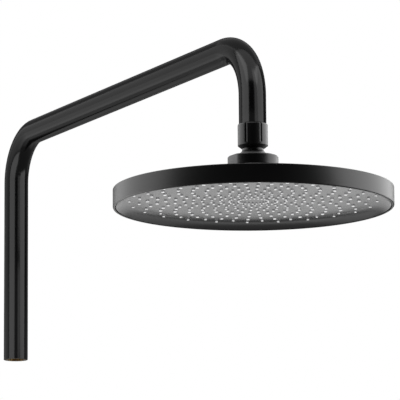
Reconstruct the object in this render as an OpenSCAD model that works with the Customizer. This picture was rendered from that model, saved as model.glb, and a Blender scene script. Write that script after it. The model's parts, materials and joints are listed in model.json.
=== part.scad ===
// Upper section of a rainfall shower column: a bent tube with a swivel joint and a round rain head.
// Millimetres. The origin is the centre of the riser's lower end, +Z is up and the arm reaches along -Y.

/* [Column tube] */
// Outside diameter of the tube
tube_d = 25; // [20:0.5:32]
// Wall of the tube
tube_wall = 1.5; // [1:0.1:2]
// Height of the arm's axis above the riser's lower end
arm_height = 235; // [180:1:600]
// From the riser's axis to the drop's axis
arm_reach = 510; // [380:1:650]
// Bend from the riser to the arm, at the tube's axis
riser_bend_r = 48; // [40:1:70]
// Bend from the arm to the drop, at the tube's axis
drop_bend_r = 51; // [40:1:70]
// From the arm's axis down to the centre of the ball
ball_drop = 112.5; // [105:0.5:180]

/* [Riser end] */
// Length of the brass socket inside the riser's lower end
socket_length = 30; // [27:1:60]
// Bore of the socket
socket_bore_d = 17; // [12:0.5:17.5]
// Depth of that bore
socket_bore_depth = 25; // [15:1:26]
// Water passage above the bore
socket_passage_d = 14; // [8:0.5:15]

/* [Outlet] */
// Outside diameter of the pipe thread, crest to crest
thread_d = 20; // [18:0.2:20.4]
// Length of the nipple's shank inside the tube
nipple_shank = 18; // [10:1:24]
// Bore of the nipple where the flow regulator sits
nipple_bore_d = 14.4; // [12:0.2:15]
// Thickness of the inlet washer
washer_t = 2; // [1.5:0.1:3]
// Thickness of the strainer
strainer_t = 0.8; // [0.6:0.1:1.2]
// Height of the flow regulator
regulator_h = 4.5; // [4:0.1:6]

/* [Swivel nut] */
// Wall of the nut round its thread
nut_wall = 3.7; // [2.5:0.1:6]
// Height of the nut
nut_h = 22.3; // [20:0.1:28]
// Height of the bevel at the nut's lower end
nut_bevel_h = 2.6; // [1:0.1:3]
// Thickness of the web that bears on the stem
nut_web = 3; // [2.8:0.1:4]
// Number of grip grooves
groove_count = 6; // [4:1:12]
// Width of a grip groove
groove_w = 1.8; // [1:0.1:3]
// Depth of a grip groove
groove_depth = 0.7; // [0.4:0.1:1]
// Turn of the grooves, in degrees
groove_turn = 4; // [0:1:59]

/* [Ball joint] */
// Diameter of the ball
ball_d = 28; // [26:0.2:29]
// Diameter of the neck above the ball
neck_d = 19.6; // [18:0.2:20]
// Length of the neck between the ball and the nut
neck_length = 2.1; // [1.5:0.1:6]
// Diameter of the stem inside the nut
stem_d = 15; // [14:0.2:15.6]
// Water passage through the stem and the ball
flow_d = 10; // [6:0.2:10]
// Gap between the ball and its seats
seat_gap = 0.1; // [0.05:0.01:0.2]
// Gap between parts that move past each other
move_gap = 0.3; // [0.2:0.05:0.4]
// Section diameter of the ball seal
seal_d = 2.4; // [2:0.1:2.6]

/* [Collar] */
// Wall of the collar round its thread
collar_wall = 4.6; // [3.4:0.1:8]
// Wall of the collar at its wrench flats
collar_flat_wall = 2.9; // [2:0.1:3.4]
// Top of the collar above the ball's centre
collar_top = 4.8; // [4.6:0.1:5.4]
// Bottom of the collar below the ball's centre
collar_low = 5; // [4:0.1:6]
// Thickness of the lip over the upper seat
lip_t = 1.4; // [1:0.1:1.6]
// Thickness of the gasket under the collar
gasket_t = 2; // [1:0.1:2.5]

/* [Head] */
// Diameter of the head
head_d = 254; // [200:1:300]
// Height of the band round the head
band_h = 17; // [16:0.1:24]
// From the ball's centre down to the head's rim
head_drop = 42; // [40:0.5:60]
// Wall of the back shell
shell_wall = 2.2; // [1.8:0.1:3]
// Thickness of the shell over the rim of the chamber plate
shoulder_t = 4.5; // [3.5:0.1:5]
// Gap between the shell and the face plate
face_gap = 0.7; // [0.4:0.1:1]
// Width of the flat ring round the face
face_ring_w = 2.6; // [2:0.1:5]
// Width of the cove inside that ring
cove_w = 9.5; // [8.5:0.1:12]
// Thickness of the face plate
face_t = 2; // [1.5:0.1:2.5]
// Thickness of the nozzle mat
mat_t = 1.6; // [1.2:0.1:2]
// Thickness of the chamber plate
chamber_t = 2.5; // [2.2:0.1:4]
// Number of screws that hold the chamber plate
screw_count = 8; // [6:1:12]

/* [Nozzles] */
// Number of rings
ring_count = 13; // [6:1:13]
// Nozzles in each ring
ring_nozzles = 24; // [12:1:24]
// Radius of the innermost ring
ring_first_r = 13.6; // [13.6:0.1:16]
// From the outermost ring out to the cove
ring_edge = 0; // [0:0.1:8]
// How far a nozzle stands out of the face
nozzle_out = 1.1; // [1:0.1:3]
// Radius of a nozzle in the innermost ring
nozzle_first_r = 1.1; // [0.8:0.1:1.3]
// How much wider each ring's nozzles are than the last
nozzle_growth = 0.05; // [0:0.01:0.06]
// Turn of the whole pattern, in degrees
nozzle_turn = 3.8; // [0:0.1:15]

/* [Hidden] */
$fn = 96;
over = 1;              // how far a cut runs past the face it opens
o_ring_d = 1.5;        // section of the small O-rings
slip = 0.1;            // gap round what only has to slide in
end_gap = 0.4;         // gap between the nut and the tube's end

tube_r = tube_d / 2;
bore_r = tube_r - tube_wall;
ball_r = ball_d / 2;
ball_z = arm_height - ball_drop;
rim_z = ball_z - head_drop;

// Heights of the outlet, above the ball's centre
neck_r = neck_d / 2;
neck_top = sqrt(pow(ball_r, 2) - pow(neck_r, 2)) + neck_length;
nut_top = neck_top + nut_h;
stem_tail = 5;                         // stem above the nut's web, with the snap ring's groove
stem_top = neck_top + nut_web + stem_tail;
washer_top = stem_top + washer_t;
nipple_low = washer_top + strainer_t;
regulator_top = nipple_low + regulator_h;
tube_end = nut_top + end_gap;
thread_r = thread_d / 2;
nipple_bore_r = nipple_bore_d / 2;
nipple_step = 0.8;                     // ledge that the flow regulator rests against
nipple_passage_r = nipple_bore_r - nipple_step;
regulator_play = 0.5;                  // spare height over the flow regulator
snap_t = 0.9;
snap_groove = 0.6;
snap_width = 2;
stem_r = stem_d / 2;
nut_bore_r = thread_r;
nut_r = thread_r + nut_wall;
bevel_r = neck_r + 0.4;

// Seats, seen from the ball's centre
lower_seat_t = 1.1;
lower_seat_angles = [14, 26];          // below the ball's equator
ball_cut = 13 / 14 * ball_r;           // where the ball is cut off flat underneath
seal_angle = 47;                       // below the equator
seal_path_r = ball_r + seat_gap + seal_d / 2;
seal_ring_r = seal_path_r * cos(seal_angle);
seal_ring_z = -seal_path_r * sin(seal_angle);
cavity_r = ball_r + seat_gap + lower_seat_t + move_gap;
seal_floor_z = seal_ring_z - seal_d / 2;
seal_wall_r = seal_ring_r + seal_d / 2;
cavity_low_z = seal_ring_z + 7 / 12 * seal_d;

// Collar and hub
upper_seat_t = 3.3;                    // wall of the upper seat at the ball's equator
hub_ledge = 0.9;                       // step from the upper seat's bore to the hub's thread
hub_floor = 3;                         // under the ball seal
hub_lip = 2.2;                         // inside the ball seal
hub_root = 2;                          // how far the hub's foot stands out past its thread
hub_top_z = -0.1;
seat_top_z = collar_top - lip_t;
upper_seat_low_z = hub_top_z + 2 * slip;
upper_seat_r = ball_r + upper_seat_t;
upper_seat_bore = upper_seat_r + 2 * slip;
hub_r = upper_seat_bore + hub_ledge;
hub_low_z = seal_floor_z - hub_floor;
hub_body_r = hub_r + hub_root;
hub_passage_r = seal_ring_r - hub_lip;
collar_r = hub_r + collar_wall;
flat_r = hub_r + collar_flat_wall;
gasket_proud = 0.4;                    // how far the gasket stands out past the collar
hole_r = sqrt(pow(ball_r, 2) - pow(seat_top_z, 2)) + move_gap;

// Head, measured up from the rim
head_r = head_d / 2;
band_round = 0.8;
rim_round = 1.2;
shell_in_r = head_r - shell_wall;
plate_r = shell_in_r - face_gap;
plate_low = 0.4;
cove_out_r = plate_r - face_ring_w;
cove_in_r = cove_out_r - cove_w;
face_height = band_h - shoulder_t - chamber_t - mat_t - face_t;    // face above the rim
cove_h = face_height - plate_low;
cove_rad = (pow(cove_w, 2) + pow(cove_h, 2)) / (2 * cove_h);
cove_mid_z = face_height - cove_rad;
clip_wall = 1.8;
clip_r = plate_r - clip_wall;
mat_low = face_height + face_t;
chamber_low = mat_low + mat_t;
chamber_top = chamber_low + chamber_t;
mat_edge = 1.6;                        // mat past the flat of the face
seal_edge = 1;                         // from the mat's edge to the chamber seal
chamber_lip = 1.6;                     // from the chamber seal in to the chamber
clip_drop = 1;                         // plate's clip wall below the chamber plate's top
mat_r = cove_in_r + mat_edge;
chamber_seal_r = mat_r + seal_edge;
chamber_r = chamber_seal_r - chamber_lip;
screw_edge = 3.3;                      // from the chamber plate's edge in to the screws
screw_ring_r = clip_r - screw_edge;
screw_tip_gap = 0.3;
screw_r = 1.4;
screw_head_r = 2.6;
screw_head_h = 1.8;
screw_depth = 3;
shoulder_z = head_drop - collar_low - gasket_t;    // flat top of the shell, above the rim
shoulder_margin = 1.5;                 // flat of the shell past the collar
shoulder_r = collar_r + shoulder_margin;
roof_out_r = head_r - band_round;
roof_slope = (shoulder_z - band_h) / (roof_out_r - shoulder_r);
roof_wall = shell_wall + 0.2;
feed_r = 0.7;
ring_step = (cove_in_r - ring_edge - ring_first_r) / (ring_count - 1);

function roof_z(r) = band_h + (roof_out_r - r) * roof_slope;
function arc(cx, cy, r, from, to, steps = 16) =
    [for (i = [0:steps]) let (a = from + (to - from) * i / steps) [cx + r * cos(a), cy + r * sin(a)]];
function nozzle_r(ring) = nozzle_first_r + nozzle_growth * ring;

// Places its children at the outlet's axis, with z measured from the ball's centre
module at_ball() {
    translate([0, -arm_reach, ball_z]) children();
}

// Places its children at the head's axis, with z measured from the rim
module at_rim() {
    translate([0, -arm_reach, rim_z]) children();
}

module ring(outer, inner, low, high) {
    translate([0, 0, low]) difference() {
        cylinder(r = outer, h = high - low);
        translate([0, 0, -over]) cylinder(r = inner, h = high - low + 2 * over);
    }
}

module o_ring(path_r, section_d, z) {
    translate([0, 0, z]) rotate_extrude() translate([path_r, 0]) circle(d = section_d, $fn = 32);
}

// One quarter bend of a pipe in the YZ plane, from its upward end at the origin towards -Y
module bend(path_r, outer, inner) {
    translate([0, -path_r, 0]) rotate([90, 0, 90]) rotate_extrude(angle = 90)
        translate([path_r, 0]) pipe_section(outer, inner);
}

module pipe_section(outer, inner) {
    difference() {
        circle(r = outer);
        circle(r = inner);
    }
}

module each_nozzle() {
    for (i = [0:ring_count - 1], j = [0:ring_nozzles - 1])
        rotate(nozzle_turn + (j + 0.5 * ((ring_count - 1 - i) % 2)) * 360 / ring_nozzles)
            translate([ring_first_r + i * ring_step, 0, 0]) {
                $ring = i;
                children();
            }
}

module each_screw() {
    for (i = [0:screw_count - 1]) rotate((i + 0.5) * 360 / screw_count)
        translate([screw_ring_r, 0, 0]) children();
}

// ---- column ----

module column_tube() {
    riser_straight = arm_height - riser_bend_r;
    drop_straight = ball_drop - drop_bend_r - tube_end;
    color("#1b1b1c") {
        ring(tube_r, bore_r, 0, riser_straight);
        translate([0, 0, riser_straight]) bend(riser_bend_r, tube_r, bore_r);
        translate([0, -riser_bend_r, arm_height]) rotate([90, 0, 0])
            ring(tube_r, bore_r, 0, arm_reach - riser_bend_r - drop_bend_r);
        translate([0, -arm_reach, arm_height - drop_bend_r]) mirror([0, 1, 0])
            bend(drop_bend_r, tube_r, bore_r);
        at_ball() ring(tube_r, bore_r, tube_end, tube_end + drop_straight);
    }
}

socket_ring_zs = [socket_length * 0.3, socket_length * 0.7];

module end_socket() {
    color("#b08d4f") difference() {
        cylinder(r = bore_r, h = socket_length);
        translate([0, 0, -over]) cylinder(d = socket_bore_d, h = socket_bore_depth + over);
        cylinder(d = socket_passage_d, h = socket_length + over);
        for (z = socket_ring_zs) ring(bore_r + over, bore_r - o_ring_d, z - o_ring_d / 2, z + o_ring_d / 2);
    }
}

module socket_o_rings() {
    color("#141414") for (z = socket_ring_zs) o_ring(bore_r - o_ring_d / 2, o_ring_d, z);
}

// ---- outlet ----

module outlet_nipple() {
    color("#b08d4f") at_ball() difference() {
        union() {
            translate([0, 0, nipple_low]) cylinder(r = thread_r, h = tube_end - nipple_low);
            translate([0, 0, tube_end]) cylinder(r = bore_r, h = nipple_shank);
        }
        translate([0, 0, nipple_low - over])
            cylinder(r = nipple_passage_r, h = tube_end + nipple_shank + over);
        translate([0, 0, nipple_low - over])
            cylinder(r = nipple_bore_r, h = regulator_h + regulator_play + over);
    }
}

module strainer() {
    mesh_r = 0.6;
    hole_rings = [[0, 1], [2, 6], [4, 12]];    // radius and number of holes
    color("silver") at_ball() translate([0, 0, washer_top]) difference() {
        cylinder(r = thread_r, h = strainer_t);
        for (h = hole_rings, i = [0:h[1] - 1]) rotate(i * 360 / h[1])
            translate([h[0], 0, -over]) cylinder(r = mesh_r, h = strainer_t + 2 * over, $fn = 24);
    }
}

washer_lip = 0.4;

module inlet_washer() {
    color("#202020") at_ball() ring(thread_r, flow_d / 2 + washer_lip, stem_top, washer_top);
}

regulator_r = nipple_bore_r - 5 * slip;
regulator_ring_z = nipple_low + regulator_h / 2;
regulator_ring_r = nipple_bore_r - o_ring_d / 2;

module flow_regulator() {
    jet_r = 0.8;
    jet_ring_r = 3;
    color("#dcdcd4") at_ball() difference() {
        translate([0, 0, nipple_low]) cylinder(r = regulator_r, h = regulator_h);
        ring(regulator_r + over, nipple_bore_r - o_ring_d,
             regulator_ring_z - o_ring_d / 2, regulator_ring_z + o_ring_d / 2);
        for (i = [0:5]) rotate(i * 60) translate([jet_ring_r, 0, nipple_low - over])
            cylinder(r = jet_r, h = regulator_h + 2 * over, $fn = 24);
    }
}

module regulator_o_ring() {
    color("#141414") at_ball() o_ring(regulator_ring_r, o_ring_d, regulator_ring_z);
}

module swivel_nut() {
    edge = 0.5;
    groove_start = 1.8;    // above the bevel
    groove_low = neck_top + nut_bevel_h + groove_start;
    color("#1d1d1e") at_ball() difference() {
        rotate_extrude() polygon([
            [stem_r + slip, neck_top], [bevel_r, neck_top], [nut_r, neck_top + nut_bevel_h],
            [nut_r, nut_top - edge], [nut_r - edge, nut_top], [nut_bore_r, nut_top],
            [nut_bore_r, neck_top + nut_web], [stem_r + slip, neck_top + nut_web]
        ]);
        for (i = [0:groove_count - 1]) rotate(groove_turn + (i + 0.5) * 360 / groove_count)
            translate([nut_r - groove_depth, -groove_w / 2, groove_low])
                cube([groove_depth + over, groove_w, nut_h]);
    }
}

module snap_ring() {
    mouth = 2;
    low = neck_top + nut_web;
    color("silver") at_ball() difference() {
        ring(stem_r - snap_groove + snap_width, stem_r - snap_groove, low, low + snap_t);
        translate([0, -mouth / 2, low - over]) cube([stem_d, mouth, snap_t + 2 * over]);
    }
}

module ball_stem() {
    low = neck_top + nut_web;
    color("#1d1d1e") at_ball() difference() {
        union() {
            sphere(r = ball_r);
            cylinder(r = neck_r, h = neck_top);
            cylinder(r = stem_r, h = stem_top);
        }
        translate([0, 0, -ball_cut - ball_r]) cylinder(r = ball_r, h = ball_r);
        translate([0, 0, -ball_r - over]) cylinder(d = flow_d, h = ball_r + stem_top + 2 * over);
        ring(stem_r + over, stem_r - snap_groove, low, low + snap_t);
    }
}

// ---- ball joint ----

module lower_seat() {
    high = -(ball_r + seat_gap) * sin(lower_seat_angles[0]);
    low = -(ball_r + seat_gap) * sin(lower_seat_angles[1]);
    color("#e8e6de") at_ball() intersection() {
        difference() {
            sphere(r = ball_r + seat_gap + lower_seat_t);
            sphere(r = ball_r + seat_gap);
        }
        translate([0, 0, low]) cylinder(r = ball_r + over + lower_seat_t, h = high - low);
    }
}

module upper_seat() {
    color("#e8e6de") at_ball() difference() {
        translate([0, 0, upper_seat_low_z])
            cylinder(r = upper_seat_r, h = seat_top_z - slip - upper_seat_low_z);
        sphere(r = ball_r + seat_gap);
    }
}

module ball_seal() {
    color("#141414") at_ball() o_ring(seal_ring_r, seal_d, seal_ring_z);
}

module collar() {
    edge = 1;
    color("#1d1d1e") at_ball() difference() {
        rotate_extrude() polygon([
            [hub_r, -collar_low], [collar_r - edge / 2, -collar_low], [collar_r, -collar_low + edge / 2],
            [collar_r, collar_top - edge], [collar_r - edge, collar_top], [hole_r, collar_top],
            [hole_r, seat_top_z], [upper_seat_bore, seat_top_z], [upper_seat_bore, hub_top_z],
            [hub_r, hub_top_z]
        ]);
        for (side = [0, 180]) rotate(side)
            translate([flat_r, -collar_r, -collar_low - over])
                cube([collar_r, 2 * collar_r, collar_low + collar_top + 2 * over]);
    }
}

module collar_gasket() {
    color("#2a2a2b") at_ball() ring(collar_r + gasket_proud, hub_r, -collar_low - gasket_t, -collar_low);
}

// ---- head ----

module shell_outline() {
    hub_top = head_drop + hub_top_z;
    hub_low = head_drop + hub_low_z;
    polygon(concat(
        [[shell_in_r, 0]],
        arc(head_r - rim_round, rim_round, rim_round, -90, 0, 6),
        arc(head_r - band_round, band_h - band_round, band_round, 0, 90, 6),
        [
            [shoulder_r, shoulder_z], [hub_r, shoulder_z], [hub_r, hub_top], [hub_passage_r, hub_top],
            [hub_passage_r, hub_low], [hub_body_r, hub_low], [hub_body_r, roof_z(hub_body_r) - roof_wall],
            [chamber_r, roof_z(chamber_r) - roof_wall], [chamber_r, chamber_top], [shell_in_r, chamber_top]
        ]
    ));
}

module back_shell() {
    color("#1a1a1b") difference() {
        at_rim() rotate_extrude($fn = 180) shell_outline();
        at_ball() {
            intersection() {
                sphere(r = cavity_r);
                translate([0, 0, cavity_low_z]) cylinder(r = cavity_r, h = 2 * cavity_r);
            }
            translate([0, 0, seal_floor_z]) cylinder(r = seal_wall_r, h = cavity_low_z - seal_floor_z + over);
        }
        at_rim() each_screw() translate([0, 0, chamber_top - over])
            cylinder(r = screw_r, h = screw_depth + over, $fn = 24);
    }
}

module chamber_plate() {
    color("#4a4a4c") at_rim() difference() {
        translate([0, 0, chamber_low]) cylinder(r = clip_r, h = chamber_t, $fn = 180);
        ring(chamber_seal_r + o_ring_d / 2, chamber_seal_r - o_ring_d / 2,
             chamber_top - o_ring_d, chamber_top + over);
        each_screw() translate([0, 0, chamber_low - over])
            cylinder(r = screw_r + 2 * slip, h = chamber_t + 2 * over, $fn = 24);
        each_nozzle() translate([0, 0, chamber_low - over])
            cylinder(r = feed_r, h = chamber_t + 2 * over, $fn = 16);
    }
}

module chamber_seal() {
    color("#141414") at_rim() o_ring(chamber_seal_r, o_ring_d, chamber_top - o_ring_d / 2);
}

module nozzle_mat() {
    color("#6c6c6e") at_rim() difference() {
        union() {
            translate([0, 0, mat_low]) cylinder(r = mat_r, h = mat_t, $fn = 180);
            each_nozzle() translate([0, 0, face_height - nozzle_out])
                cylinder(r = nozzle_r($ring), h = nozzle_out + face_t + over, $fn = 16);
        }
        each_nozzle() translate([0, 0, face_height - nozzle_out - over])
            cylinder(r = nozzle_r($ring) / 2, h = nozzle_out + face_t + mat_t + 2 * over, $fn = 16);
    }
}

module face_outline() {
    outer_rad = cove_rad + face_t;
    from = asin((plate_low - cove_mid_z) / cove_rad);
    top_from = acos((clip_r - cove_in_r) / outer_rad);
    polygon(concat(
        [[0, face_height], [cove_in_r, face_height]],
        arc(cove_in_r, cove_mid_z, cove_rad, 90, from),
        [[plate_r, plate_low], [plate_r, chamber_top - clip_drop], [clip_r, chamber_top - clip_drop]],
        arc(cove_in_r, cove_mid_z, outer_rad, top_from, 90),
        [[0, mat_low]]
    ));
}

module face_plate() {
    color("#3a3a3b") at_rim() difference() {
        rotate_extrude($fn = 180) face_outline();
        each_nozzle() translate([0, 0, face_height - over])
            cylinder(r = nozzle_r($ring), h = face_t + 2 * over, $fn = 16);
    }
}

module face_screws() {
    color("silver") at_rim() each_screw() translate([0, 0, chamber_low]) {
        translate([0, 0, -screw_head_h]) cylinder(r = screw_head_r, h = screw_head_h, $fn = 24);
        cylinder(r = screw_r, h = chamber_t + screw_depth - screw_tip_gap, $fn = 24);
    }
}

column_tube();
end_socket();
socket_o_rings();
outlet_nipple();
strainer();
inlet_washer();
flow_regulator();
regulator_o_ring();
swivel_nut();
snap_ring();
ball_stem();
lower_seat();
upper_seat();
ball_seal();
collar();
collar_gasket();
back_shell();
chamber_plate();
chamber_seal();
nozzle_mat();
face_plate();
face_screws();
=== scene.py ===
import json
import math

import bpy
from mathutils import Matrix, Vector


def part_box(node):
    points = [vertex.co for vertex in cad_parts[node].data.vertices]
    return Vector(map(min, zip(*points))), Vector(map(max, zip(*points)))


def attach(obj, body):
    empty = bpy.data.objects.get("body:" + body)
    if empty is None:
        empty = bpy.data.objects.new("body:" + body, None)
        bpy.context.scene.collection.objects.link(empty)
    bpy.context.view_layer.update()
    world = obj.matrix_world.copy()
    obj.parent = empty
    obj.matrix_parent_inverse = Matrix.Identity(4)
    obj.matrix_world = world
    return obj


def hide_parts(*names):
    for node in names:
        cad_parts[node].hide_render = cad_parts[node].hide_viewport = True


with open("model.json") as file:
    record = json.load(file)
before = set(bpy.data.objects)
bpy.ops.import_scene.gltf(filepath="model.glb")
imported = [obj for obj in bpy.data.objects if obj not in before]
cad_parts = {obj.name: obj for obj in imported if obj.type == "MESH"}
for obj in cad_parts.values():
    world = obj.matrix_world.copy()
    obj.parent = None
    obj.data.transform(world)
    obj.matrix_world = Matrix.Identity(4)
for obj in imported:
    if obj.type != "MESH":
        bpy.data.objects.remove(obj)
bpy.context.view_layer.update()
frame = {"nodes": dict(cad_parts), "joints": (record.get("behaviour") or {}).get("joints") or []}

nodes = frame["nodes"]

# Everything is placed from the riser's lower end, the ball's centre and the head's rim.
ballPlace = Vector(frame["joints"][0]["pos_m"])
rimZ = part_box("back_shell")[0].z
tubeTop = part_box("column_tube")[1].z
mm = 0.001
nippleShank = 18.0       # length of the nipple inside the tube, in mm
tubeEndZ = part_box("outlet_nipple")[1].z - nippleShank * mm
sameSpot = 0.02          # how near a vertex counts as on a ring, in mm
mergeGap = 0.01          # vertices closer than this are one, in mm


def clearSelection():
    if bpy.context.mode != "OBJECT":
        bpy.ops.object.mode_set(mode="OBJECT")
    bpy.ops.object.select_all(action="DESELECT")


def startPoint(name, place):
    # a plane merged to one vertex, left in edit mode
    clearSelection()
    bpy.ops.mesh.primitive_plane_add(size=mm, location=place)
    piece = bpy.context.object
    piece.name = name
    bpy.ops.object.transform_apply(location=True, rotation=True, scale=True)
    bpy.ops.object.mode_set(mode="EDIT")
    bpy.ops.mesh.select_mode(type="VERT")
    bpy.ops.mesh.select_all(action="SELECT")
    bpy.ops.mesh.merge(type="CENTER")
    return piece


def pick(piece, kind, wanted):
    # selects the vertices, edges or faces that wanted says, and stays in edit mode
    bpy.ops.object.mode_set(mode="EDIT")
    bpy.ops.mesh.select_mode(type=kind)
    bpy.ops.mesh.select_all(action="DESELECT")
    bpy.ops.object.mode_set(mode="OBJECT")
    mesh = piece.data
    kinds = {"VERT": mesh.vertices, "EDGE": mesh.edges, "FACE": mesh.polygons}
    for part in kinds[kind]:
        part.select = wanted(part)
    bpy.ops.object.mode_set(mode="EDIT")


def radiusOf(place):
    return math.hypot(place.x - ballPlace.x, place.y - ballPlace.y)


def finishMesh(piece, angle=30):
    clearSelection()
    piece.select_set(True)
    bpy.context.view_layer.objects.active = piece
    bpy.ops.object.mode_set(mode="EDIT")
    bpy.ops.mesh.select_all(action="SELECT")
    bpy.ops.mesh.remove_doubles(threshold=mergeGap * mm)
    bpy.ops.mesh.normals_make_consistent(inside=False)
    bpy.ops.object.mode_set(mode="OBJECT")
    bpy.ops.object.shade_smooth_by_angle(angle=math.radians(angle))
    return piece


def arcPoints(centre, radius, start, end, steps):
    points = []
    for step in range(steps + 1):
        turn = math.radians(start + (end - start) * step / steps)
        points.append((centre[0] + radius * math.cos(turn), centre[1] + radius * math.sin(turn)))
    return points


def lathe(name, outline, baseZ, steps):
    # outline: a closed run of (radius, height) in mm about the outlet's axis
    axis = Vector((ballPlace.x, ballPlace.y, baseZ))
    places = [axis + Vector((radius * mm, 0, height * mm)) for radius, height in outline]
    piece = startPoint(name, places[0])
    for before, after in zip(places, places[1:] + places[:1]):
        bpy.ops.mesh.extrude_region_move(TRANSFORM_OT_translate={"value": after - before})
    bpy.ops.mesh.select_all(action="SELECT")
    bpy.ops.mesh.remove_doubles(threshold=mergeGap / 2 * mm)
    bpy.ops.mesh.select_all(action="SELECT")
    bpy.ops.mesh.spin(steps=steps, angle=math.tau, center=axis, axis=(0, 0, 1))
    return finishMesh(piece)


def roundRing(piece, radius, height, baseZ, size, segments=3):
    # bevels the ring of edges that the lathe made at one point of its outline
    def onRing(place):
        offRadius = abs(radiusOf(place) - radius * mm)
        offHeight = abs(place.z - baseZ - height * mm)
        return max(offRadius, offHeight) < sameSpot * mm

    points = piece.data.vertices
    pick(piece, "EDGE", lambda edge: all(onRing(points[end].co) for end in edge.vertices))
    bpy.ops.mesh.bevel(offset=size * mm, segments=segments, affect="EDGES")
    bpy.ops.object.mode_set(mode="OBJECT")


def applied(piece, kind, **settings):
    clearSelection()
    piece.select_set(True)
    bpy.context.view_layer.objects.active = piece
    bpy.ops.object.modifier_add(type=kind)
    modifier = piece.modifiers[-1]
    for key, value in settings.items():
        setattr(modifier, key, value)
    bpy.ops.object.modifier_apply(modifier=modifier.name)


def softenEdges(piece, width, angle=25):
    limit = math.radians(angle)
    applied(piece, "BEVEL", width=width * mm, segments=2, limit_method="ANGLE", angle_limit=limit)


def smooth(piece, angle=30):
    clearSelection()
    piece.select_set(True)
    bpy.context.view_layer.objects.active = piece
    bpy.ops.object.shade_smooth_by_angle(angle=math.radians(angle))


class Sock:
    # one output of a node; arithmetic on it adds Math nodes
    def __init__(self, tree, link):
        self.tree = tree
        self.link = link

    def node(self, kind, settings, values, out=0):
        made = self.tree.nodes.new(kind)
        for key, value in settings.items():
            if key == "stops":
                for stop, (position, colour) in zip(made.color_ramp.elements, value):
                    stop.position = position
                    stop.color = (*colour, 1)
            else:
                setattr(made, key, value)
        for key, value in values.items():
            if isinstance(value, Sock):
                self.tree.links.new(value.link, made.inputs[key])
            else:
                made.inputs[key].default_value = value
        return Sock(self.tree, made.outputs[out])

    def maths(self, operation, first, second):
        return self.node("ShaderNodeMath", {"operation": operation}, {0: first, 1: second})

    def __add__(self, other):
        return self.maths("ADD", self, other)

    def __radd__(self, other):
        return self.maths("ADD", other, self)

    def __sub__(self, other):
        return self.maths("SUBTRACT", self, other)

    def __rsub__(self, other):
        return self.maths("SUBTRACT", other, self)

    def __mul__(self, other):
        return self.maths("MULTIPLY", self, other)

    def __rmul__(self, other):
        return self.maths("MULTIPLY", other, self)

    def noise(self, scale, detail=2.0):
        return self.node("ShaderNodeTexNoise", {}, {"Vector": self, "Scale": scale, "Detail": detail})

    def blend(self, dark, light):
        values = {"Factor": self, 6: (*dark, 1), 7: (*light, 1)}
        return self.node("ShaderNodeMix", {"data_type": "RGBA"}, values, 2)

    def bump(self, strength, distance):
        values = {"Height": self, "Strength": strength, "Distance": distance}
        return self.node("ShaderNodeBump", {}, values)


# The camera looks up at the head from in front and from the left.
print("camera")
camera = {
    "place": (-1.31816, -2.85692, -0.39192),
    "heading": 28.294,
    "pitch": 10.109,
    "roll": -0.433,
    "lens": 272.6,
}
bpy.ops.object.camera_add(location=camera["place"])
shotCamera = bpy.context.object
turns = Matrix.Rotation(math.radians(-camera["heading"]), 4, "Z")
turns = turns @ Matrix.Rotation(math.radians(90 + camera["pitch"]), 4, "X")
turns = turns @ Matrix.Rotation(math.radians(camera["roll"]), 4, "Z")
shotCamera.rotation_euler = turns.to_euler()
shotCamera.data.lens = camera["lens"]
shotCamera.data.clip_end = 50
bpy.context.scene.camera = shotCamera
bpy.context.scene.view_settings.view_transform = "Standard"


# White to the eye; soft boxes, walls and sheets light one group of pieces each.
print("studio")
studio = {
    "floorZ": -1.3,
    "floorSize": 60.0,
    "floorGlow": 0.14,
    "floorSeen": 0.7,
    "dark": 0.006,
    "aim": Vector((0, -0.35, 0.12)),
    "distance": 2.6,
    "wallAway": 0.8,
    "wallHeight": 2.4,
    "wallMiddle": 0.2,
    "sheetLift": 0.1,
    "widest": 90,
}
glossLit = bpy.data.collections.new("glossLit")
satinLit = bpy.data.collections.new("satinLit")
faceLit = bpy.data.collections.new("faceLit")
nozzleLit = bpy.data.collections.new("nozzleLit")
rimLit = bpy.data.collections.new("rimLit")


def shaderNode(tree, kind, **values):
    node = tree.nodes.new(kind)
    for key, value in values.items():
        node.inputs[key].default_value = value
    return node


def makeWorld():
    # white to the eye, nearly black to reflections, so the lights alone shape the gloss
    world = bpy.data.worlds.new("studio")
    bpy.context.scene.world = world
    world.use_nodes = True
    tree = world.node_tree
    tree.nodes.clear()
    seen = shaderNode(tree, "ShaderNodeBackground", Color=(1, 1, 1, 1))
    lit = shaderNode(tree, "ShaderNodeBackground", Color=(1, 1, 1, 1), Strength=studio["dark"])
    path = tree.nodes.new("ShaderNodeLightPath")
    mix = tree.nodes.new("ShaderNodeMixShader")
    out = tree.nodes.new("ShaderNodeOutputWorld")
    tree.links.new(path.outputs["Is Camera Ray"], mix.inputs["Fac"])
    tree.links.new(lit.outputs[0], mix.inputs[1])
    tree.links.new(seen.outputs[0], mix.inputs[2])
    tree.links.new(mix.outputs[0], out.inputs["Surface"])


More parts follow.
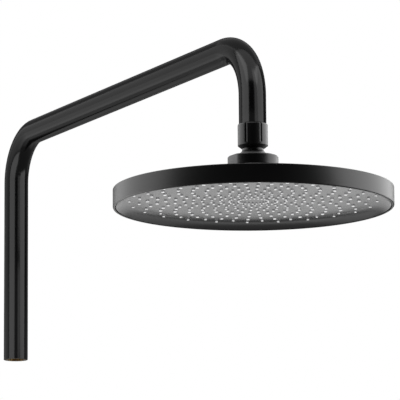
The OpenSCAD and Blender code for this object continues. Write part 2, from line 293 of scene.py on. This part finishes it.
def makeFloor():
    # pale and lit from within, because the head's underside mirrors it
    clearSelection()
    bpy.ops.mesh.primitive_plane_add(size=studio["floorSize"], location=(0, 0, studio["floorZ"]))
    floor = bpy.context.object
    floor.name = "studioFloor"
    finish = bpy.data.materials.new("paleFloor")
    finish.use_nodes = True
    shader = finish.node_tree.nodes["Principled BSDF"]
    shader.inputs["Base Color"].default_value = (0.8, 0.8, 0.8, 1)
    shader.inputs["Roughness"].default_value = 0.9
    shader.inputs["Emission Color"].default_value = (1, 1, 1, 1)
    tree = finish.node_tree
    path = Sock(tree, tree.nodes.new("ShaderNodeLightPath").outputs["Is Camera Ray"])
    glow = path * studio["floorSeen"] + studio["floorGlow"]
    tree.links.new(glow.link, shader.inputs["Emission Strength"])
    # clear from beneath, so that the head can be looked at from straight below
    mix = tree.nodes.new("ShaderNodeMixShader")
    tree.links.new(tree.nodes.new("ShaderNodeNewGeometry").outputs["Backfacing"], mix.inputs["Fac"])
    tree.links.new(shader.outputs[0], mix.inputs[1])
    tree.links.new(tree.nodes.new("ShaderNodeBsdfTransparent").outputs[0], mix.inputs[2])
    tree.links.new(mix.outputs[0], tree.nodes["Material Output"].inputs["Surface"])
    floor.data.materials.append(finish)


def softBox(name, start, end, low, high, glow, receivers=None):
    # azimuths and elevations that it spans, seen from the object: azimuth 0 is towards the camera
    turn = math.radians((start + end) / 2 - camera["heading"])
    rise = math.radians((low + high) / 2)
    reach = studio["distance"]
    away = Vector((math.sin(turn) * math.cos(rise), -math.cos(turn) * math.cos(rise), math.sin(rise)))
    bpy.ops.object.light_add(type="AREA", location=studio["aim"] + away * reach)
    box = bpy.context.object
    box.name = name
    box.data.shape = "RECTANGLE"
    box.data.size = 2 * reach * math.tan(math.radians(min(abs(end - start), studio["widest"]) / 2))
    box.data.size_y = 2 * reach * math.tan(math.radians((high - low) / 2))
    box.data.energy = glow * math.pi * box.data.size * box.data.size_y
    box.rotation_euler = away.to_track_quat("Z", "Y").to_euler()
    box.visible_camera = False
    if receivers:
        box.light_linking.receiver_collection = receivers


def sideWall(name, front, back, glow, receivers):
    # an upright panel beside the column, from front to back in metres along Y
    bpy.ops.object.light_add(
        type="AREA",
        location=(-studio["wallAway"], (front + back) / 2, studio["wallMiddle"]),
        rotation=(0, -math.pi / 2, 0),
    )
    panel = bpy.context.object
    panel.name = name
    panel.data.shape = "RECTANGLE"
    panel.data.size = studio["wallHeight"]
    panel.data.size_y = back - front
    panel.data.energy = glow * math.pi * panel.data.size * panel.data.size_y
    panel.visible_camera = False
    panel.light_linking.receiver_collection = receivers


def underLight(name, azimuth, near, far, width, glow, receivers):
    # a pale sheet just above the floor, which what hangs over it mirrors
    turn = math.radians(azimuth - camera["heading"])
    away = Vector((math.sin(turn), -math.cos(turn), 0))
    place = Vector((ballPlace.x, ballPlace.y, studio["floorZ"] + studio["sheetLift"]))
    place += away * (near + far) / 2
    bpy.ops.object.light_add(type="AREA", location=place)
    sheet = bpy.context.object
    sheet.name = name
    sheet.data.shape = "RECTANGLE"
    sheet.data.size = width
    sheet.data.size_y = far - near
    sheet.data.energy = glow * math.pi * width * (far - near)
    facing = Matrix.Rotation(turn + math.pi, 4, "Z") @ Matrix.Rotation(math.pi, 4, "X")
    sheet.rotation_euler = facing.to_euler()
    sheet.visible_camera = False
    sheet.light_linking.receiver_collection = receivers


makeWorld()
makeFloor()
sideWall("tubeFrontLeft", -0.98, 0.03, 1.35, glossLit)
sideWall("tubeBackLeft", 0.16, 3.5, 0.4, glossLit)
softBox("tubeFrontRight", 18, 42, -20, 50, 0.8, glossLit)
softBox("tubeKeyRight", 42, 98, -20, 50, 1.4, glossLit)
softBox("tubeEdgeRight", 120, 160, -20, 50, 0.12, glossLit)
softBox("tubeBehind", 165, 200, 5, 50, 0.12, glossLit)
softBox("armTop", 200, 228, 17, 40, 0.09, glossLit)
softBox("bendFront", -75, 75, 32, 88, 0.75, glossLit)
softBox("bendBack", 120, 240, 42, 90, 0.2, glossLit)
underLight("armUnder", 214, 1.2, 5.0, 3.0, 0.13, glossLit)
softBox("satinLeft", -70, -150, -25, 50, 1.9, satinLit)
softBox("satinRight", 66, 150, -25, 50, 3.0, satinLit)
softBox("overheadSatin", 0, 360, 60, 120, 1.4, satinLit)
underLight("underBehind", 168, 3.2, 28, 24, 0.92, faceLit)
underLight("underFront", -20, -1.2, 8, 12, 0.2, faceLit)
softBox("coveBehind", 155, 205, -6, 16, 0.3, faceLit)
underLight("coveRight", 140, 0.9, 2.4, 2.4, 0.5, faceLit)
underLight("coveLeft", -140, 0.9, 2.4, 2.4, 0.55, faceLit)
underLight("rimUnder", -135, 1.2, 6, 7, 1.3, rimLit)
softBox("nozzleFront", -45, 45, -25, 5, 1.6, nozzleLit)
underLight("nozzleUnder", 0, -3, 3, 6, 1.0, nozzleLit)


# Sizes of the face and its nozzles in mm stand here, because the silicone's colour, with its painted
# highlight on the tips, follows them too.
face = {
    "height": 6.4,
    "thick": 2.0,
    "flat": 107.5,
    "ring": 124.1,
    "ringLow": 0.4,
    "clip": 122.3,
    "clipTop": 11.5,
    "soft": 0.3,
}
nozzle = {
    "rings": 13,
    "each": 24,
    "firstRing": 13.6,
    "step": 8.2,
    "turn": 3.8,
    "firstSize": 0.85,
    "growth": 0.08,
    "mostSize": 1.55,
    "lastSize": 1.25,
    "out": 1.1,
    "mat": 113.6,
    "matThick": 1.6,
    "sides": 12,
    "bore": 0.4,
    "boreLip": 0.55,
    "boreDeep": 1.5,
    "tipEdge": 0.9,
    "boreTaper": 0.04,
    "tipRound": 0.15,
    "boreRound": 0.1,
    "root": 1.04,
    "rootDeep": 0.2,
    "lastRings": 2,
}


# Every finish is worked out from Object coordinates.
print("finishes")


def newFinish(name):
    # an empty material: its Principled node and its Object coordinates
    finish = bpy.data.materials.new(name)
    finish.use_nodes = True
    tree = finish.node_tree
    shader = tree.nodes["Principled BSDF"]
    coords = tree.nodes.new("ShaderNodeTexCoord")
    return finish, shader, Sock(tree, coords.outputs["Object"])


def feed(shader, **values):
    names = {"color": "Base Color", "rough": "Roughness", "metal": "Metallic", "normal": "Normal"}
    for key, value in values.items():
        target = shader.inputs[names[key]]
        if isinstance(value, Sock):
            value.tree.links.new(value.link, target)
        else:
            target.default_value = value


def coatedFinish(name, dark, light, rough, grain, depth):
    # paint or moulded plastic: fine grain, a little unevenness in tone and gloss
    finish, shader, place = newFinish(name)
    cloud = place.noise(14)
    speck = place.noise(grain, 3.0)
    feed(
        shader,
        color=cloud.blend(dark, light),
        rough=rough + (cloud - 0.5) * 0.08 + (speck - 0.5) * 0.06,
        normal=speck.bump(0.25, depth),
    )
    return finish


def siliconeWithPaintedTipLight(name, side, tip, rough):
    # soft grey silicone: the tips are painted lighter as a painted highlight of the light from below, and
    # the sides darker as painted shade
    finish, shader, place = newFinish(name)
    tipZ = rimZ + (face["height"] - nozzle["out"]) * mm
    height = place.node("ShaderNodeSeparateXYZ", {}, {"Vector": place}, 2)
    limits = {"Value": height, "From Min": tipZ + 0.1 * mm, "From Max": tipZ + 0.3 * mm}
    # thick is 0 at the tip and 1 up the sides: it masks the painted tip highlight against the painted side
    # shade
    thick = place.node("ShaderNodeMapRange", {"interpolation_type": "SMOOTHSTEP"}, limits)
    cloud = place.noise(30)
    feed(
        shader,
        # tip holds the painted highlight colour, side the painted shade colour
        color=(thick + (cloud - 0.5) * 0.1).blend(tip, side),
        rough=rough + (cloud - 0.5) * 0.08,
        normal=place.noise(2200, 3.0).bump(0.2, 0.00002),
    )
    return finish


def metalFinish(name, dark, light, rough, lines):
    # turned metal: fine rings about the height
    finish, shader, place = newFinish(name)
    ringValues = {"Vector": place, "Scale": lines, "Distortion": 0.6, "Detail": 2.0}
    rings = place.node("ShaderNodeTexWave", {"bands_direction": "Z"}, ringValues, 1)
    cloud = place.noise(60)
    feed(
        shader,
        color=cloud.blend(dark, light),
        rough=rough + (rings - 0.5) * 0.1,
        metal=1.0,
        normal=rings.bump(0.15, 0.00002),
    )
    return finish


tubeDark, tubeLight = (0.0014, 0.0014, 0.0016), (0.0022, 0.0022, 0.0024)
satinDark, satinLight = (0.0004, 0.0004, 0.0005), (0.0009, 0.0009, 0.001)
# coated finishes: dark and light colour, roughness, grain and its depth in metres
finishes = {
    "tube": coatedFinish("tubeBlack", tubeDark, tubeLight, 0.17, 1500, 0.00003),
    "satin": coatedFinish("satinBlack", satinDark, satinLight, 0.36, 2600, 0.00002),
    "shell": coatedFinish("shellBlack", satinDark, satinLight, 0.38, 2200, 0.00002),
    "face": coatedFinish("faceGrey", (0.007, 0.007, 0.0075), (0.010, 0.010, 0.0105), 0.26, 2200, 0.00002),
    # the nozzles' sides are painted mid grey as painted shade, and their tips near white as a painted
    # highlight
    "silicone": siliconeWithPaintedTipLight("siliconeNozzle", (0.5, 0.5, 0.51), (0.93, 0.93, 0.93), 0.3),
    "gasket": coatedFinish("gasketBlack", (0.05, 0.05, 0.052), (0.065, 0.065, 0.067), 0.45, 2600, 0.00002),
    "rubber": coatedFinish("blackRubber", (0.010, 0.010, 0.010), (0.02, 0.02, 0.02), 0.6, 1800, 0.00004),
    "inner": coatedFinish("innerPlastic", (0.04, 0.04, 0.042), (0.055, 0.055, 0.057), 0.5, 1200, 0.00003),
    "white": coatedFinish("whitePlastic", (0.6, 0.6, 0.56), (0.7, 0.7, 0.66), 0.45, 1200, 0.00003),
    "ptfe": coatedFinish("slipRing", (0.66, 0.65, 0.61), (0.76, 0.75, 0.71), 0.5, 1500, 0.00002),
    "brass": metalFinish("turnedBrass", (0.42, 0.29, 0.11), (0.52, 0.38, 0.16), 0.3, 900),
    "steel": metalFinish("stainlessSteel", (0.42, 0.42, 0.42), (0.52, 0.52, 0.52), 0.28, 1200),
}
nodeFinishes = {
    "end_socket": "brass", "socket_o_rings": "rubber", "outlet_nipple": "brass", "strainer": "steel",
    "inlet_washer": "rubber", "flow_regulator": "white", "regulator_o_ring": "rubber",
    "snap_ring": "steel", "lower_seat": "ptfe", "upper_seat": "ptfe", "ball_seal": "rubber",
    "chamber_plate": "inner", "chamber_seal": "rubber", "face_screws": "steel",
    "column_tube": "tube", "swivel_nut": "satin", "ball_stem": "satin", "collar": "satin",
    "collar_gasket": "gasket", "back_shell": "shell", "face_plate": "face", "nozzle_mat": "silicone",
}


def dress(piece, finish):
    piece.data.materials.clear()
    piece.data.materials.append(finishes[finish])


for nodeName, finishName in nodeFinishes.items():
    dress(nodes[nodeName], finishName)
    satinLit.objects.link(nodes[nodeName])


def fit(piece, node, body, finish, litBy):
    # stands for the CAD node: rides on its body and takes its finish
    dress(piece, finish)
    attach(piece, body)
    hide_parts(node)
    litBy.objects.link(piece)


# Riser, arm and drop are one bent tube. Sizes from here on are in mm.
print("column tube")
tube = {
    "outer": 12.5,
    "wall": 1.5,
    "riserBend": 48.0,
    "dropBend": 51.0,
    "sides": 72,
    "bendSteps": 30,
    "lip": 0.3,
    "lipAngle": 60,
}


def makeTube():
    armZ = tubeTop - tube["outer"] * mm
    riserBend = tube["riserBend"] * mm
    dropBend = tube["dropBend"] * mm
    reach = -ballPlace.y
    clearSelection()
    bpy.ops.mesh.primitive_circle_add(vertices=tube["sides"], radius=tube["outer"] * mm)
    piece = bpy.context.object
    piece.name = "bentTube"
    bpy.ops.object.mode_set(mode="EDIT")
    bpy.ops.mesh.select_all(action="SELECT")

    def run(x, y, z):
        bpy.ops.mesh.extrude_region_move(TRANSFORM_OT_translate={"value": (x, y, z)})

    def bend(y, z):
        quarter = math.radians(-90)
        bpy.ops.mesh.spin(steps=tube["bendSteps"], angle=quarter, center=(0, y, z), axis=(1, 0, 0))

    run(0, 0, armZ - riserBend)
    bend(-riserBend, armZ - riserBend)
    run(0, riserBend + dropBend - reach, 0)
    bend(dropBend - reach, armZ - dropBend)
    run(0, 0, tubeEndZ - armZ + dropBend)
    finishMesh(piece)
    applied(piece, "SOLIDIFY", thickness=tube["wall"] * mm, offset=-1)
    softenEdges(piece, tube["lip"], tube["lipAngle"])
    smooth(piece)
    fit(piece, "column_tube", "column", "tube", glossLit)


makeTube()


# The nut has slots for grip, and its heights are above the ball's centre.
print("swivel nut")
nut = {
    "bore": 10.0,
    "outer": 13.7,
    "stem": 7.6,
    "low": 12.1,
    "web": 3.0,
    "bevel": 2.6,
    "foot": 10.2,
    "height": 22.3,
    "edge": 0.45,
    "edgeHeight": 0.8,
    "grooves": 6,
    "grooveTurn": 34.0,
    "grooveWidth": 0.9,
    "grooveDepth": 0.8,
    "grooveLow": 16.5,
    "rampWidth": 1.45,
    "rampDepth": 0.52,
    "soft": 0.15,
    "cutLength": 30.0,
    "cutDeep": 4.0,
}


def makeNut():
    top = nut["low"] + nut["height"]
    web = nut["low"] + nut["web"]
    outline = [
        (nut["stem"], nut["low"]), (nut["foot"], nut["low"]), (nut["outer"], nut["low"] + nut["bevel"]),
        (nut["outer"], top - nut["edgeHeight"]), (nut["outer"] - nut["edge"], top), (nut["bore"], top),
        (nut["bore"], web), (nut["stem"], web),
    ]
    piece = lathe("gripNut", outline, ballPlace.z, 120)
    cutters = []
    length = nut["cutLength"] * mm
    slotMiddle = nut["outer"] - nut["grooveDepth"] + nut["cutDeep"] / 2
    for step in range(nut["grooves"]):
        turn = math.radians(nut["grooveTurn"] + step * 360 / nut["grooves"])
        outward = Vector((math.cos(turn), math.sin(turn), 0))
        middle = ballPlace + Vector((0, 0, nut["grooveLow"] * mm + length / 2))
        clearSelection()
        bpy.ops.mesh.primitive_cube_add(
            size=1,
            location=middle + outward * slotMiddle * mm,
            rotation=(0, 0, turn),
            scale=(nut["cutDeep"] * mm, nut["grooveWidth"] * mm, length),
        )
        cutters.append(bpy.context.object)
        # a flat diamond leaves a shallow ramp down to the groove on each side
        bpy.ops.mesh.primitive_cylinder_add(
            vertices=4,
            radius=mm,
            depth=length,
            location=middle + outward * nut["outer"] * mm,
            rotation=(0, 0, turn),
            scale=(nut["rampDepth"], nut["rampWidth"], 1),
        )
        cutters.append(bpy.context.object)
    for cutter in cutters:
        applied(piece, "BOOLEAN", operation="DIFFERENCE", solver="EXACT", object=cutter)
        bpy.data.objects.remove(cutter)
    softenEdges(piece, nut["soft"])
    finishMesh(piece)
    fit(piece, "swivel_nut", "column", "satin", satinLit)


makeNut()


# Ball, neck and threaded stem are one turned piece.
print("ball and stem")
stem = {
    "ball": 14.0,
    "cut": 13.0,
    "neck": 9.8,
    "neckTop": 12.1,
    "shank": 7.5,
    "top": 20.1,
    "flow": 5.0,
    "snapLow": 15.1,
    "snapHigh": 16.0,
    "snapDepth": 0.6,
    "flare": 0.9,
    "soft": 0.3,
}


def makeStem():
    start = math.degrees(math.acos(stem["neck"] / stem["ball"]))
    end = -math.degrees(math.asin(stem["cut"] / stem["ball"]))
    waist = stem["shank"] - stem["snapDepth"]
    outline = [
        (stem["flow"], stem["top"]), (stem["shank"], stem["top"]), (stem["shank"], stem["snapHigh"]),
        (waist, stem["snapHigh"]), (waist, stem["snapLow"]), (stem["shank"], stem["snapLow"]),
        (stem["shank"], stem["neckTop"]), (stem["neck"], stem["neckTop"]),
    ]
    outline += arcPoints((0, 0), stem["ball"], start, end, 28)
    outline += [(stem["flow"], -stem["cut"])]
    piece = lathe("ballStem", outline, ballPlace.z, 120)
    roundRing(piece, stem["neck"], stem["neckTop"], ballPlace.z, stem["soft"])
    ballEdge = math.sqrt(stem["ball"] ** 2 - stem["neck"] ** 2)
    roundRing(piece, stem["neck"], ballEdge, ballPlace.z, stem["flare"], 5)
    smooth(piece)
    fit(piece, "ball_stem", "column", "satin", satinLit)


makeStem()


# The collar holds the ball in the head, and the gasket lies under it.
print("collar and gasket")
collar = {
    "thread": 18.4,
    "outer": 23.0,
    "flat": 21.3,
    "low": -5.0,
    "top": 4.8,
    "edge": 1.0,
    "lip": 1.4,
    "mouth": 13.88,
    "seat": 17.5,
    "hubTop": -0.1,
    "soft": 0.25,
}
gasket = {"thick": 2.0, "proud": 0.4, "soft": 0.5}


def makeCollar():
    under = collar["top"] - collar["lip"]
    outline = [
        (collar["thread"], collar["low"]), (collar["outer"] - collar["edge"] / 2, collar["low"]),
        (collar["outer"], collar["low"] + collar["edge"] / 2),
        (collar["outer"], collar["top"] - collar["edge"]),
        (collar["outer"] - collar["edge"], collar["top"]), (collar["mouth"], collar["top"]),
        (collar["mouth"], under), (collar["seat"], under), (collar["seat"], collar["hubTop"]),
        (collar["thread"], collar["hubTop"]),
    ]
    piece = lathe("hubCollar", outline, ballPlace.z, 144)
    for side in (1, -1):
        bpy.ops.object.mode_set(mode="EDIT")
        bpy.ops.mesh.select_all(action="SELECT")
        bpy.ops.mesh.bisect(
            plane_co=ballPlace + Vector((side * collar["flat"] * mm, 0, 0)),
            plane_no=(side, 0, 0),
            use_fill=True,
            clear_outer=True,
        )
        bpy.ops.object.mode_set(mode="OBJECT")
    softenEdges(piece, collar["soft"])
    finishMesh(piece)
    fit(piece, "collar", "head", "satin", satinLit)


def makeGasket():
    outer = collar["outer"] + gasket["proud"]
    low = collar["low"] - gasket["thick"]
    outline = [(collar["thread"], low), (outer, low)]
    outline += [(outer, collar["low"]), (collar["thread"], collar["low"])]
    piece = lathe("hubGasket", outline, ballPlace.z, 144)
    for height in (low, collar["low"]):
        roundRing(piece, outer, height, ballPlace.z, gasket["soft"])
    smooth(piece)
    fit(piece, "collar_gasket", "head", "gasket", satinLit)


makeCollar()
makeGasket()


# The shell has an upright band, a shallow cone on top and the hub. Heights are above the rim.
print("back shell")
shell = {
    "outer": 127.0,
    "inner": 124.8,
    "rimRound": 1.2,
    "bandRound": 0.8,
    "band": 17.0,
    "shoulder": 24.5,
    "shoulderZ": 35.0,
    "hub": 18.4,
    "hubTop": 41.9,
    "cavity": 15.5,
    "cavityLow": -9.79,
    "sealWall": 11.63,
    "sealFloor": -12.39,
    "passage": 8.23,
    "hubLow": -15.39,
    "hubFoot": 20.4,
    "wall": 2.4,
    "chamber": 113.0,
    "chamberTop": 12.5,
    "shoulderSoft": 1.5,
}


def makeShell():
    ballHigh = (ballPlace.z - rimZ) / mm
    edge = shell["outer"] - shell["bandRound"]
    slope = (shell["shoulderZ"] - shell["band"]) / (edge - shell["shoulder"])

    def underRoof(radius):
        return shell["band"] + (edge - radius) * slope - shell["wall"]

    rimMiddle = (shell["outer"] - shell["rimRound"], shell["rimRound"])
    outline = [(shell["inner"], 0)]
    outline += arcPoints(rimMiddle, shell["rimRound"], -90, 0, 6)
    outline += arcPoints((edge, shell["band"] - shell["bandRound"]), shell["bandRound"], 0, 90, 6)
    outline += [(shell["shoulder"], shell["shoulderZ"]), (shell["hub"], shell["shoulderZ"])]
    outline += [(shell["hub"], shell["hubTop"])]
    end = -math.degrees(math.asin(-shell["cavityLow"] / shell["cavity"]))
    outline += arcPoints((0, ballHigh), shell["cavity"], 0, end, 10)
    outline += [
        (shell["sealWall"], ballHigh + shell["cavityLow"]),
        (shell["sealWall"], ballHigh + shell["sealFloor"]),
        (shell["passage"], ballHigh + shell["sealFloor"]), (shell["passage"], ballHigh + shell["hubLow"]),
        (shell["hubFoot"], ballHigh + shell["hubLow"]), (shell["hubFoot"], underRoof(shell["hubFoot"])),
        (shell["chamber"], underRoof(shell["chamber"])), (shell["chamber"], shell["chamberTop"]),
        (shell["inner"], shell["chamberTop"]),
    ]
    piece = lathe("headShell", outline, rimZ, 288)
    roundRing(piece, shell["shoulder"], shell["shoulderZ"], rimZ, shell["shoulderSoft"], 4)
    smooth(piece)
    fit(piece, "back_shell", "head", "shell", satinLit)
    rimLit.objects.link(piece)


makeShell()


# The face is a flat disc with a cove out to the rim.
print("face plate")


def makeFace():
    drop = face["height"] - face["ringLow"]
    cove = face["ring"] - face["flat"]
    radius = (cove ** 2 + drop ** 2) / (2 * drop)
    middle = face["height"] - radius
    end = math.degrees(math.asin((face["ringLow"] - middle) / radius))
    backStart = math.degrees(math.acos((face["clip"] - face["flat"]) / (radius + face["thick"])))
    outline = [(0, face["height"])]
    outline += arcPoints((face["flat"], middle), radius, 90, end, 20)
    outline += [(face["ring"], face["clipTop"]), (face["clip"], face["clipTop"])]
    outline += arcPoints((face["flat"], middle), radius + face["thick"], backStart, 90, 10)
    outline += [(0, face["height"] + face["thick"])]
    piece = lathe("faceDisc", outline, rimZ, 288)
    roundRing(piece, face["ring"], face["ringLow"], rimZ, face["soft"])
    smooth(piece)
    fit(piece, "face_plate", "head", "face", faceLit)


makeFace()


# The nozzles are one small turned piece, copied in rings and joined to the sheet they grow from.
print("nozzles")


def makeNozzles():
    faceTop = face["height"] + face["thick"]
    tip = face["height"] - nozzle["out"]
    # radii are shares of the nozzle's own radius, heights are above its tip
    rootTop = faceTop - tip + nozzle["rootDeep"]
    profile = [(0, nozzle["boreDeep"]), (nozzle["bore"], nozzle["boreDeep"])]
    profile += [(nozzle["bore"] + nozzle["boreTaper"], nozzle["boreRound"]), (nozzle["boreLip"], 0)]
    profile += [(nozzle["tipEdge"], 0), (1.0, nozzle["tipRound"]), (nozzle["root"], rootTop), (0, rootTop)]
    original = lathe("nozzleStart", profile, rimZ + tip * mm, nozzle["sides"])
    matOutline = [(0, faceTop), (nozzle["mat"], faceTop), (nozzle["mat"], faceTop + nozzle["matThick"])]
    matOutline += [(0, faceTop + nozzle["matThick"])]
    mat = lathe("nozzleSheet", matOutline, rimZ, 144)
    centre = Vector((ballPlace.x, ballPlace.y, 0))
    copies = []
    for ring in range(nozzle["rings"]):
        size = min(nozzle["firstSize"] + nozzle["growth"] * ring, nozzle["mostSize"])
        if ring >= nozzle["rings"] - nozzle["lastRings"]:
            size = nozzle["lastSize"]
        for spot in range(nozzle["each"]):
            stagger = 0.5 * ((nozzle["rings"] - 1 - ring) % 2)
            turn = math.radians(nozzle["turn"] + (spot + stagger) * 360 / nozzle["each"])
            reach = (nozzle["firstRing"] + nozzle["step"] * ring) * mm
            copy = bpy.data.objects.new("nozzleCopy", original.data.copy())
            bpy.context.collection.objects.link(copy)
            away = Vector((reach * math.cos(turn), reach * math.sin(turn), 0))
            copy.scale = (size, size, 1)
            copy.location = centre + away - Vector((centre.x * size, centre.y * size, 0))
            copies.append(copy)
    bpy.data.objects.remove(original)
    clearSelection()
    for copy in copies:
        copy.select_set(True)
    mat.select_set(True)
    bpy.context.view_layer.objects.active = mat
    bpy.ops.object.join()
    smooth(mat, 40)
    fit(mat, "nozzle_mat", "head", "silicone", faceLit)
    nozzleLit.objects.link(mat)


makeNozzles()
